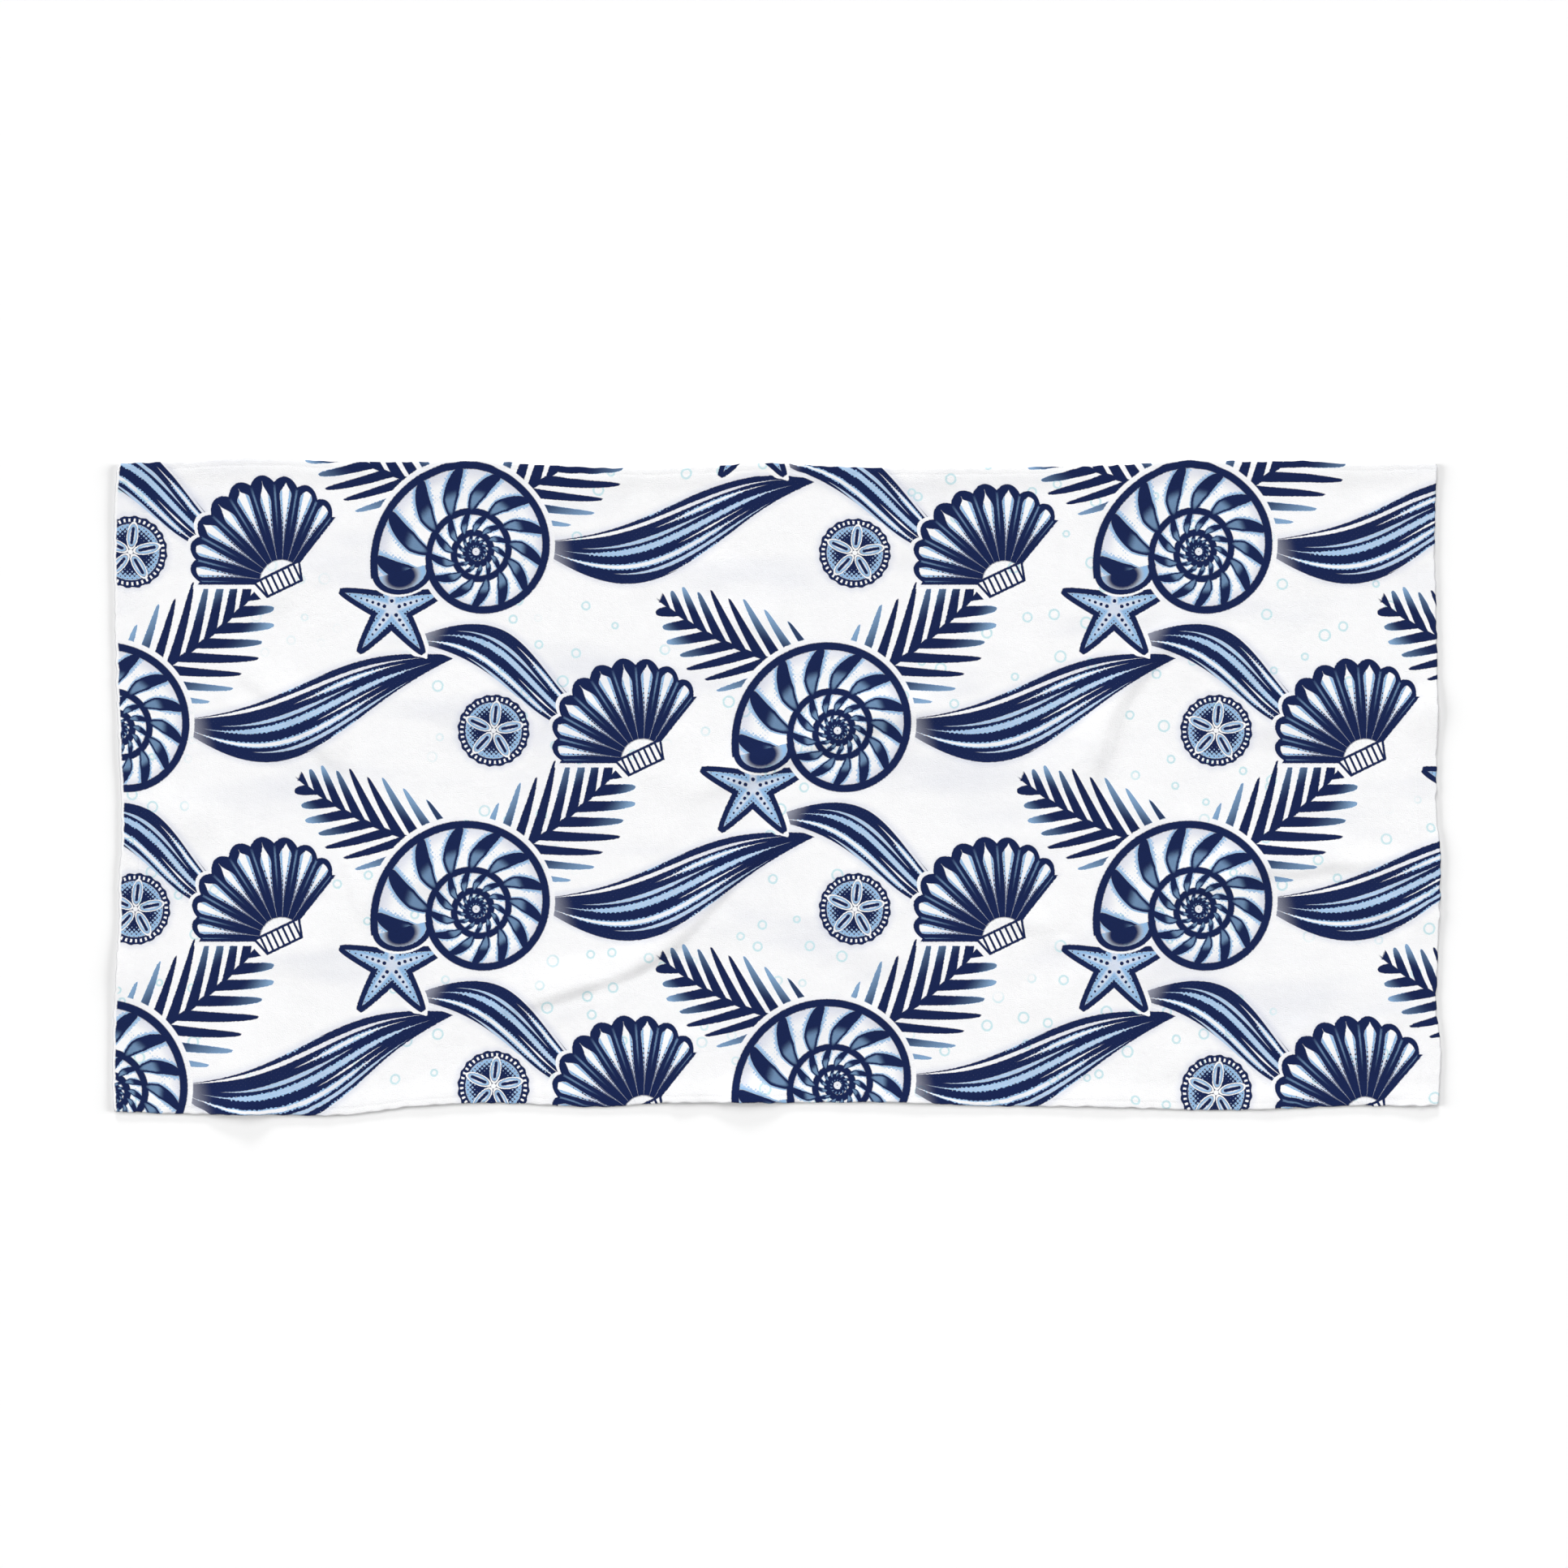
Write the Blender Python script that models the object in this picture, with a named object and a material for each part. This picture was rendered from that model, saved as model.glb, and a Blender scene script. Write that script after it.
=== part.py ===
"""Beach towel laid out on a flat surface: one hemmed sheet of velour terry with its main folds.

X runs along the towel, Y across it and Z is up. The underside lies on Z = 0 wherever no fold lifts it,
and the origin is the middle of the towel's box on that surface.
"""

from collections import namedtuple

import bmesh
import bpy
import numpy as np

# Sizes of the cloth, in metres
TOWEL_LENGTH = 1.520
TOWEL_WIDTH = 0.737
CLOTH_THICKNESS = 0.0025
END_HEM_WIDTH = 0.025
SIDE_HEM_WIDTH = 0.010
HEM_EXTRA_THICKNESS = 0.0012
HEM_STEP_WIDTH = 0.003
CORNER_EASE = 0.003

# Cells of the mesh: the widest on flat cloth, then the limits where the cloth is lifted and on folds
FLAT_CELL = 0.038
LIFT_CELL = 0.030
FOLD_CELL = 0.015
LEAST_LIFT = 0.0002

# Points along a fold's foot line, and the power by which an edge's wander fades towards the middle
ROUTE_STEPS = 48
WANDER_FADE = 3

# How narrow a fold's flank and back become where it runs out, as shares of their width
END_FLANK = 0.6
END_BACK = 0.5

CLOTH_COLOUR = (0.93, 0.93, 0.94, 1.0)
CLOTH_ROUGHNESS = 0.92

# How far an edge wanders out from the straight rectangle, at places along it
Wander = namedtuple("Wander", "along out")
FAR_SIDE = (
    Wander(-0.757, 0.0000), Wander(-0.701, 0.0014), Wander(-0.589, 0.0056), Wander(-0.514, 0.0023),
    Wander(-0.403, 0.0019), Wander(-0.347, 0.0028), Wander(-0.272, -0.0019), Wander(-0.179, -0.0056),
    Wander(-0.086, -0.0037), Wander(-0.011, 0.0000), Wander(0.063, -0.0037), Wander(0.287, -0.0042),
    Wander(0.399, -0.0019), Wander(0.473, 0.0037), Wander(0.548, 0.0019), Wander(0.604, 0.0028),
    Wander(0.660, -0.0009), Wander(0.734, 0.0009),
)
NEAR_SIDE = (
    Wander(-0.757, 0.0056), Wander(-0.664, 0.0084), Wander(-0.570, 0.0093), Wander(-0.496, 0.0093),
    Wander(-0.421, 0.0000), Wander(-0.328, -0.0044), Wander(-0.235, -0.0009), Wander(-0.198, 0.0000),
    Wander(-0.086, -0.0075), Wander(0.138, -0.0056), Wander(0.212, -0.0019), Wander(0.362, 0.0000),
    Wander(0.511, 0.0037), Wander(0.585, 0.0019), Wander(0.660, -0.0009), Wander(0.734, -0.0009),
)
LEFT_END = (
    Wander(-0.365, 0.0023), Wander(-0.309, 0.0033), Wander(-0.225, -0.0005), Wander(-0.169, -0.0037),
    Wander(-0.113, -0.0042), Wander(-0.057, -0.0070), Wander(0.027, -0.0047), Wander(0.082, -0.0023),
    Wander(0.194, 0.0005), Wander(0.306, 0.0014), Wander(0.367, -0.0023),
)
RIGHT_END = (
    Wander(-0.365, 0.0005), Wander(-0.309, 0.0037), Wander(-0.253, -0.0019), Wander(-0.197, 0.0000),
    Wander(-0.141, 0.0019), Wander(-0.085, 0.0028), Wander(-0.029, -0.0014), Wander(0.082, 0.0000),
    Wander(0.194, -0.0019), Wander(0.297, -0.0037), Wander(0.362, -0.0009),
)

# Folds, each a hump to the left of its foot line. "foot" holds places along that line, "height" is the
# hump's, "flank" and "back" are the widths of its steep and its gentle side, "sharp" tells how abruptly
# the flank meets the flat cloth (0 to 1), and "rise" and "fall" are the shares of the line over which
# the hump rises at its start and falls at its end (0 where it runs out over an edge)
Fold = namedtuple("Fold", "name foot height flank back sharp rise fall")
FOLDS = (
    Fold("long slant",
         ((-0.381, -0.279), (-0.295, -0.265), (-0.221, -0.242), (-0.156, -0.219), (-0.113, -0.190),
          (-0.079, -0.154), (-0.048, -0.121), (-0.007, -0.084), (0.087, -0.032)),
         0.0042, 0.011, 0.042, 0.7, 0.25, 0.35),
    Fold("long slant, beside it",
         ((-0.184, -0.197), (-0.132, -0.149), (-0.100, -0.121), (-0.072, -0.096), (-0.048, -0.071)),
         0.0016, 0.014, 0.025, 0.0, 0.4, 0.4),
    Fold("centre",
         ((-0.109, -0.032), (-0.072, -0.018), (-0.025, -0.003), (0.017, 0.013), (0.049, 0.028),
          (0.087, 0.044), (0.133, 0.059), (0.189, 0.065), (0.250, 0.077)),
         0.0046, 0.018, 0.045, 0.3, 0.3, 0.35),
    Fold("right steep",
         ((0.368, -0.032), (0.377, 0.008), (0.387, 0.041), (0.394, 0.064), (0.408, 0.094),
          (0.436, 0.124), (0.458, 0.157), (0.478, 0.190)),
         0.0050, 0.013, 0.035, 0.6, 0.3, 0.3),
    Fold("right short",
         ((0.497, 0.157), (0.509, 0.137), (0.520, 0.115), (0.532, 0.090)),
         0.0017, 0.012, 0.022, 0.2, 0.4, 0.4),
    Fold("left slant",
         ((-0.648, 0.133), (-0.612, 0.109), (-0.575, 0.077), (-0.549, 0.053), (-0.527, 0.027),
          (-0.500, 0.006), (-0.473, -0.009)),
         0.0034, 0.015, 0.050, 0.5, 0.35, 0.35),
    Fold("left slant, lower",
         ((-0.654, 0.110), (-0.624, 0.073), (-0.596, 0.041), (-0.573, 0.006)),
         0.0020, 0.013, 0.030, 0.4, 0.4, 0.4),
    Fold("left short",
         ((-0.517, -0.062), (-0.506, -0.093), (-0.494, -0.124), (-0.481, -0.160), (-0.468, -0.178)),
         0.0024, 0.008, 0.022, 0.6, 0.35, 0.35),
    Fold("left foot",
         ((-0.610, -0.239), (-0.620, -0.286), (-0.625, -0.337), (-0.629, -0.402)),
         0.0030, 0.018, 0.025, 0.0, 0.4, 0.0),
    Fold("right low",
         ((0.588, -0.326), (0.605, -0.307), (0.620, -0.286), (0.631, -0.267)),
         0.0020, 0.014, 0.030, 0.1, 0.4, 0.4),
    Fold("right inner",
         ((0.208, -0.169), (0.250, -0.173), (0.296, -0.177), (0.329, -0.178)),
         0.0022, 0.016, 0.030, 0.0, 0.4, 0.4),
    Fold("right outer",
         ((0.357, -0.134), (0.413, -0.141), (0.450, -0.147), (0.497, -0.132), (0.543, -0.117),
          (0.599, -0.111), (0.655, -0.104), (0.711, -0.100), (0.766, -0.100)),
         0.0034, 0.016, 0.040, 0.3, 0.25, 0.3),
    Fold("right end",
         ((0.599, -0.169), (0.646, -0.163), (0.692, -0.162), (0.730, -0.165), (0.766, -0.169)),
         0.0026, 0.015, 0.030, 0.4, 0.3, 0.5),
    Fold("right small, upper",
         ((0.222, 0.010), (0.240, 0.031), (0.259, 0.059), (0.273, 0.078)),
         0.0017, 0.016, 0.026, 0.1, 0.4, 0.4),
    Fold("right small, lower",
         ((0.247, -0.115), (0.264, -0.095), (0.284, -0.074)),
         0.0016, 0.014, 0.020, 0.0, 0.4, 0.4),
    Fold("far side, left",
         ((-0.284, 0.376), (-0.266, 0.339), (-0.245, 0.312)),
         0.0020, 0.008, 0.020, 0.4, 0.0, 0.5),
    Fold("far side, middle",
         ((0.217, 0.297), (0.212, 0.329), (0.208, 0.381)),
         0.0017, 0.014, 0.022, 0.0, 0.6, 0.0),
    Fold("far side, right",
         ((0.625, 0.381), (0.622, 0.343), (0.618, 0.306)),
         0.0028, 0.016, 0.030, 0.0, 0.0, 0.6),
)

# Places along the near side where the hem stands off the surface
Puff = namedtuple("Puff", "name middle reach height")
PUFFS = (
    Puff("near left", (-0.622, -0.380), (0.058, 0.048), 0.0064),
    Puff("beside it", (-0.528, -0.388), (0.075, 0.050), 0.0014),
    Puff("near middle", (-0.034, -0.375), (0.052, 0.044), 0.0070),
    Puff("near, long", (0.250, -0.395), (0.260, 0.065), 0.0019),
    Puff("near right", (0.725, -0.385), (0.075, 0.045), 0.0042),
)


def ease(share):
    """Smooth step from 0 to 1: 3s^2 - 2s^3 of the share, kept between 0 and 1."""
    share = np.clip(share, 0.0, 1.0)
    return share * share * (3.0 - 2.0 * share)


def smooth_through(places, values, along):
    """Cubic curve through values at places, with the slope at each taken from its neighbours."""
    slopes = np.gradient(values, places)
    row = np.clip(np.searchsorted(places, along) - 1, 0, len(places) - 2)
    gap = places[row + 1] - places[row]
    t = np.clip((along - places[row]) / gap, 0.0, 1.0)
    return (
        (1 + 2 * t) * (1 - t) ** 2 * values[row]
        + t * (1 - t) ** 2 * gap * slopes[row]
        + t * t * (3 - 2 * t) * values[row + 1]
        - t * t * (1 - t) * gap * slopes[row + 1]
    )


def wander_at(table, along):
    """How far out an edge is, at places along it."""
    return smooth_through(np.array([row.along for row in table]), np.array([row.out for row in table]), along)


def foot_line(fold):
    """Points at even steps along the smooth line through the fold's foot places."""
    foot = np.array(fold.foot)
    along = np.concatenate(([0.0], np.linalg.norm(np.diff(foot, axis=0), axis=1).cumsum()))
    steps = np.linspace(0.0, along[-1], ROUTE_STEPS)
    return np.column_stack([smooth_through(along, part, steps) for part in foot.T])


def fold_lift(fold, points):
    """Lift of one hump: up its flank, then down its back as (1 - s^2)^2, and less towards its ends."""
    route = foot_line(fold)
    offsets = points[:, None, :] - route[None, :, :]
    nearest = np.linalg.norm(offsets, axis=2).argmin(axis=1)
    offset = offsets[np.arange(len(points)), nearest]
    heading = np.gradient(route, axis=0)[nearest]
    step = np.linalg.norm(heading, axis=1)
    ahead = (heading * offset).sum(axis=1) / step
    across = (heading[:, 0] * offset[:, 1] - heading[:, 1] * offset[:, 0]) / step
    along = (nearest + np.clip(ahead / step, -0.5, 0.5)) / (ROUTE_STEPS - 1)
    rising = ease(along / fold.rise) if fold.rise else 1.0
    falling = ease((1.0 - along) / fold.fall) if fold.fall else 1.0
    ends = rising * falling
    flank = fold.flank * (END_FLANK + (1.0 - END_FLANK) * ends)
    back = fold.back * (END_BACK + (1.0 - END_BACK) * ends)
    climb = np.clip(across / flank, 0.0, 1.0)
    climb = fold.sharp * climb * (2.0 - climb) + (1.0 - fold.sharp) * ease(climb)
    sink = (1.0 - np.clip((across - flank) / back, 0.0, 1.0) ** 2) ** 2
    return fold.height * climb * sink * ends


def puff_lift(puff, points):
    """Lift of one raised place: height x (1 - s^2)^2, with s the distance from its middle per reach."""
    share = (((points - puff.middle) / puff.reach) ** 2).sum(axis=1)
    return puff.height * np.clip(1.0 - share, 0.0, 1.0) ** 2


def folds_lift(points):
    """Height of the underside over the surface from the folds alone."""
    return sum(fold_lift(fold, points) for fold in FOLDS)


def lift(points):
    """Height of the underside over the surface: folds and raised places added up."""
    return folds_lift(points) + sum(puff_lift(puff, points) for puff in PUFFS)


def thickness(points):
    """Cloth thickness, with the turned hems a little thicker than the rest."""
    from_end = TOWEL_LENGTH / 2 - np.abs(points[:, 0])
    from_side = TOWEL_WIDTH / 2 - np.abs(points[:, 1])
    end_hem = 1.0 - ease((from_end - END_HEM_WIDTH) / HEM_STEP_WIDTH)
    side_hem = 1.0 - ease((from_side - SIDE_HEM_WIDTH) / HEM_STEP_WIDTH)
    return CLOTH_THICKNESS + HEM_EXTRA_THICKNESS * np.maximum(end_hem, side_hem)


def wandered(points):
    """The straight rectangle's points, moved so that its edges wander and its corners are eased."""
    x, y = points[:, 0], points[:, 1]
    u, v = x / (TOWEL_LENGTH / 2), y / (TOWEL_WIDTH / 2)
    right, left = np.clip(u, 0, 1) ** WANDER_FADE, np.clip(-u, 0, 1) ** WANDER_FADE
    far, near = np.clip(v, 0, 1) ** WANDER_FADE, np.clip(-v, 0, 1) ** WANDER_FADE
    corner = CORNER_EASE * np.isclose(np.abs(u), 1.0) * np.isclose(np.abs(v), 1.0)
    moved_x = x + right * wander_at(RIGHT_END, y) - left * wander_at(LEFT_END, y)
    moved_y = y + far * wander_at(FAR_SIDE, x) - near * wander_at(NEAR_SIDE, x)
    return np.column_stack((moved_x - np.sign(u) * corner, moved_y - np.sign(v) * corner))


def grid_lines(size, hem_width):
    """Grid lines across one side: both edges, both sides of each hem's step, and even cells between."""
    inner = size / 2 - hem_width - HEM_STEP_WIDTH
    cells = round(2 * inner / FLAT_CELL)
    edge = (size / 2, size / 2 - hem_width)
    return np.array([-edge[0], -edge[1], *np.linspace(-inner, inner, cells + 1), edge[1], edge[0]])


def lifted_faces(bm, lift_at):
    """Index of every face that is lifted at its middle or at one of its corners."""
    bm.faces.index_update()
    places = [(face.index, *face.calc_center_median()[:2]) for face in bm.faces]
    places += [(face.index, *vert.co[:2]) for face in bm.faces for vert in face.verts]
    places = np.array(places)
    return set(places[lift_at(places[:, 1:]) > LEAST_LIFT, 0].astype(int))


def split_near(bm, lift_at, cell):
    """Halves the edges longer than one cell around every lifted face."""
    lifted = lifted_faces(bm, lift_at)
    edges = [
        edge for edge in bm.edges
        if edge.calc_length() > cell and any(face.index in lifted for face in edge.link_faces)
    ]
    bmesh.ops.subdivide_edges(bm, edges=edges, cuts=1, use_grid_fill=True)


def flat_sheet():
    """Flat straight sheet, one unit face up, with small cells only where the cloth is lifted."""
    columns = grid_lines(TOWEL_LENGTH, END_HEM_WIDTH)
    rows = grid_lines(TOWEL_WIDTH, SIDE_HEM_WIDTH)
    bm = bmesh.new()
    bmesh.ops.create_grid(bm, x_segments=len(columns) - 1, y_segments=len(rows) - 1, size=1.0)
    for vert in bm.verts:
        vert.co.x = columns[round((vert.co.x + 1) / 2 * (len(columns) - 1))]
        vert.co.y = rows[round((vert.co.y + 1) / 2 * (len(rows) - 1))]
    split_near(bm, lift, LIFT_CELL)
    split_near(bm, folds_lift, FOLD_CELL)
    return bm


def cut_into_triangles(bm):
    """Cuts each cell along the more level of its diagonals, so that the folds run smoothly."""
    flat = np.array([vert.co[:2] for vert in bm.verts])
    for vert, height in zip(bm.verts, lift(flat)):
        vert.co.z = height
    bmesh.ops.triangulate(bm, faces=bm.faces[:], quad_method="SHORT_EDGE")
    for vert in bm.verts:
        vert.co.z = 0.0


def shape_cloth(bm):
    """Gives the flat sheet its thickness, folds and wandering outline, centred on its box."""
    bmesh.ops.solidify(bm, geom=bm.faces[:], thickness=CLOTH_THICKNESS)
    heights = np.array([vert.co.z for vert in bm.verts])
    top = heights > (heights.min() + heights.max()) / 2
    flat = np.array([vert.co[:2] for vert in bm.verts])
    outline = wandered(flat)
    middle = (outline.min(axis=0) + outline.max(axis=0)) / 2
    z = lift(flat) + top * thickness(flat)
    for vert, place, height in zip(bm.verts, outline - middle, z):
        vert.co = (*place, height)
    bmesh.ops.recalc_face_normals(bm, faces=bm.faces[:])


def cloth_material():
    """Plain white velour, as the cloth's ground shows between the printed motifs."""
    material = bpy.data.materials.new("white_velour_terry")
    material.use_nodes = True
    shader = material.node_tree.nodes["Principled BSDF"]
    shader.inputs["Base Color"].default_value = CLOTH_COLOUR
    shader.inputs["Roughness"].default_value = CLOTH_ROUGHNESS
    shader.inputs["Metallic"].default_value = 0.0
    return material


def towel():
    """The whole towel as one object."""
    bm = flat_sheet()
    cut_into_triangles(bm)
    shape_cloth(bm)
    mesh = bpy.data.meshes.new("towel_cloth")
    bm.to_mesh(mesh)
    bm.free()
    mesh.materials.append(cloth_material())
    mesh.shade_smooth()
    cloth = bpy.data.objects.new("towel_cloth", mesh)
    bpy.context.scene.collection.objects.link(cloth)
    return cloth


for leftover in list(bpy.data.objects):
    bpy.data.objects.remove(leftover, do_unlink=True)
towel()
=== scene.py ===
# Beach towel laid flat and a little rumpled: hemmed velour terry with a printed face.
# Metres throughout: X runs along the towel, Y across it and Z up from the floor.
from math import cos, e, log, pi, radians, sin, sqrt

import bpy
import numpy as np
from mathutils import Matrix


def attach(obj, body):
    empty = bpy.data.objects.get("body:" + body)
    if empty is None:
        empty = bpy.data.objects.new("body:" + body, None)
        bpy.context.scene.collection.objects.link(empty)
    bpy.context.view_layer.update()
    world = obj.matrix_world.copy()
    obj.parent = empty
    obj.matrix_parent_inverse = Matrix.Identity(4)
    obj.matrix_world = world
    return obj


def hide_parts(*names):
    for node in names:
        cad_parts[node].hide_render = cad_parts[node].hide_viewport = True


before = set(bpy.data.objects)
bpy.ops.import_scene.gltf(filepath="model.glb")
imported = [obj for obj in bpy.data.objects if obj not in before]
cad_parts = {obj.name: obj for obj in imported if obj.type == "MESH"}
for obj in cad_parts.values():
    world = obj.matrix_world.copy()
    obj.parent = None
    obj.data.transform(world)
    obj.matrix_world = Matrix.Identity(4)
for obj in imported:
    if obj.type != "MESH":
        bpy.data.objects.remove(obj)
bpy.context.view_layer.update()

# Camera straight above, a little off the towel's middle, and light mostly from the far side
studio = {
    "cameraPlace": (.0084, .0023, 4.2554),
    "lens": 85,
    "sensor": 36,
    "floorSize": 60,
    "floorDrop": .0002,       # keeps the floor just clear of the cloth that lies on it
    "floorColour": (.915, .915, .915, 1),
    "skyStrength": .14,
    # compass heading the light comes from (0 is +Y, 90 is +X), height over the floor, strength, softness
    "suns": (
        (-9, 18, 1.22, 9),
        (-16, 48, 1.21, 36),
        (86, 20, 2.55, 26),
        (-86, 20, 2.55, 26),
    ),
}


def buildStudio():
    scene = bpy.context.scene
    scene.view_settings.view_transform = "Standard"
    cameraData = bpy.data.cameras.new("camera")
    cameraData.lens, cameraData.sensor_width = studio["lens"], studio["sensor"]
    camera = bpy.data.objects.new("camera", cameraData)
    camera.location = studio["cameraPlace"]
    scene.collection.objects.link(camera)
    scene.camera = camera
    for number, (heading, height, strength, softness) in enumerate(studio["suns"]):
        sun = bpy.data.lights.new("sun%d" % number, "SUN")
        sun.energy, sun.angle = strength, radians(softness)
        lamp = bpy.data.objects.new(sun.name, sun)
        lamp.rotation_euler = (radians(height - 90), 0, radians(-heading))
        scene.collection.objects.link(lamp)
    world = bpy.data.worlds.new("paleRoom")
    world.use_nodes = True
    world.node_tree.nodes["Background"].inputs["Color"].default_value = (1, 1, 1, 1)
    world.node_tree.nodes["Background"].inputs["Strength"].default_value = studio["skyStrength"]
    scene.world = world
    half, low = studio["floorSize"] / 2, -studio["floorDrop"]
    mesh = bpy.data.meshes.new("floor")
    corners = [(sideX * half, sideY * half, low) for sideX, sideY in ((-1, -1), (1, -1), (1, 1), (-1, 1))]
    mesh.from_pydata(corners, [], [(0, 1, 2, 3)])
    paper = bpy.data.materials.new("palePaper")
    paper.use_nodes = True
    shader = paper.node_tree.nodes["Principled BSDF"]
    shader.inputs["Base Color"].default_value = studio["floorColour"]
    shader.inputs["Roughness"].default_value = 1
    shader.inputs["Specular IOR Level"].default_value = 0
    mesh.materials.append(paper)
    floor = bpy.data.objects.new("floor", mesh)
    scene.collection.objects.link(floor)
    print("studio built")


towel = {
    "length": 1.520,          # straightened, from hem edge to hem edge
    "width": .737,
    "thickness": .0025,
    "endHem": .025,
    "sideHem": .010,
    "hemExtra": .0012,        # how much thicker the turned hems are
    "hemSlope": .021,         # the cloth comes down to the floor over this beside a hem
    "hemStep": .0008,         # width of the step that the hem makes below
    "seamInset": .0022,       # the stitches' line, from the hem's inner edge
    "seamDip": .00022,        # how far the stitches draw the cloth in
    "seamWidth": .0014,
    "cornerRadius": .006,
    "wanderDepth": .14,       # how far in an edge's wander is felt
    "pucker": .0004,          # small unevenness of the edges, and its length
    "puckerLength": .016,
    "nearSpread": .0025,      # how much further out the near hem's pile lies than the solid's edge
    "cell": .0042,
    # grid lines near an edge, measured in from it, an odd number of them
    "endLines": (0, .0003, .0009, .0018, .0032, .0060, .0096, .0136, .0176, .0202,
                 .0216, .0222, .0228, .0237, .0246, .0251, .0256, .0270, .0290),
    "sideLines": (0, .0003, .0009, .0018, .0032, .0050, .0064, .0071,
                  .0078, .0087, .0096, .0101, .0106, .0122, .0145),
}

# How far each edge wanders out from the straight rectangle: (place along it, distance out)
edges = {
    "far": ((-.757, .0000), (-.701, .0014), (-.589, .0056), (-.514, .0023), (-.403, .0019),
            (-.347, .0028), (-.272, -.0019), (-.179, -.0056), (-.086, -.0037), (-.011, .0000),
            (.063, -.0037), (.287, -.0042), (.399, -.0019), (.473, .0037), (.548, .0019),
            (.604, .0028), (.660, -.0009), (.734, .0009)),
    "near": ((-.757, .0056), (-.664, .0084), (-.570, .0093), (-.496, .0093), (-.421, .0000),
             (-.328, -.0044), (-.235, -.0009), (-.198, .0000), (-.140, -.0040), (-.086, -.0048),
             (.010, -.0048), (.138, -.0050), (.212, -.0019), (.362, .0000), (.511, .0037),
             (.585, .0019), (.660, -.0009), (.734, -.0009)),
    "left": ((-.365, .0023), (-.309, .0033), (-.225, -.0005), (-.169, -.0037), (-.113, -.0042),
             (-.057, -.0070), (.027, -.0047), (.082, -.0023), (.194, .0005), (.306, .0014), (.367, -.0023)),
    "right": ((-.365, .0005), (-.309, .0037), (-.253, -.0019), (-.197, .0000), (-.141, .0019),
              (-.085, .0028), (-.029, -.0014), (.082, .0000), (.194, -.0019), (.297, -.0037), (.362, -.0009)),
}

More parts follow.
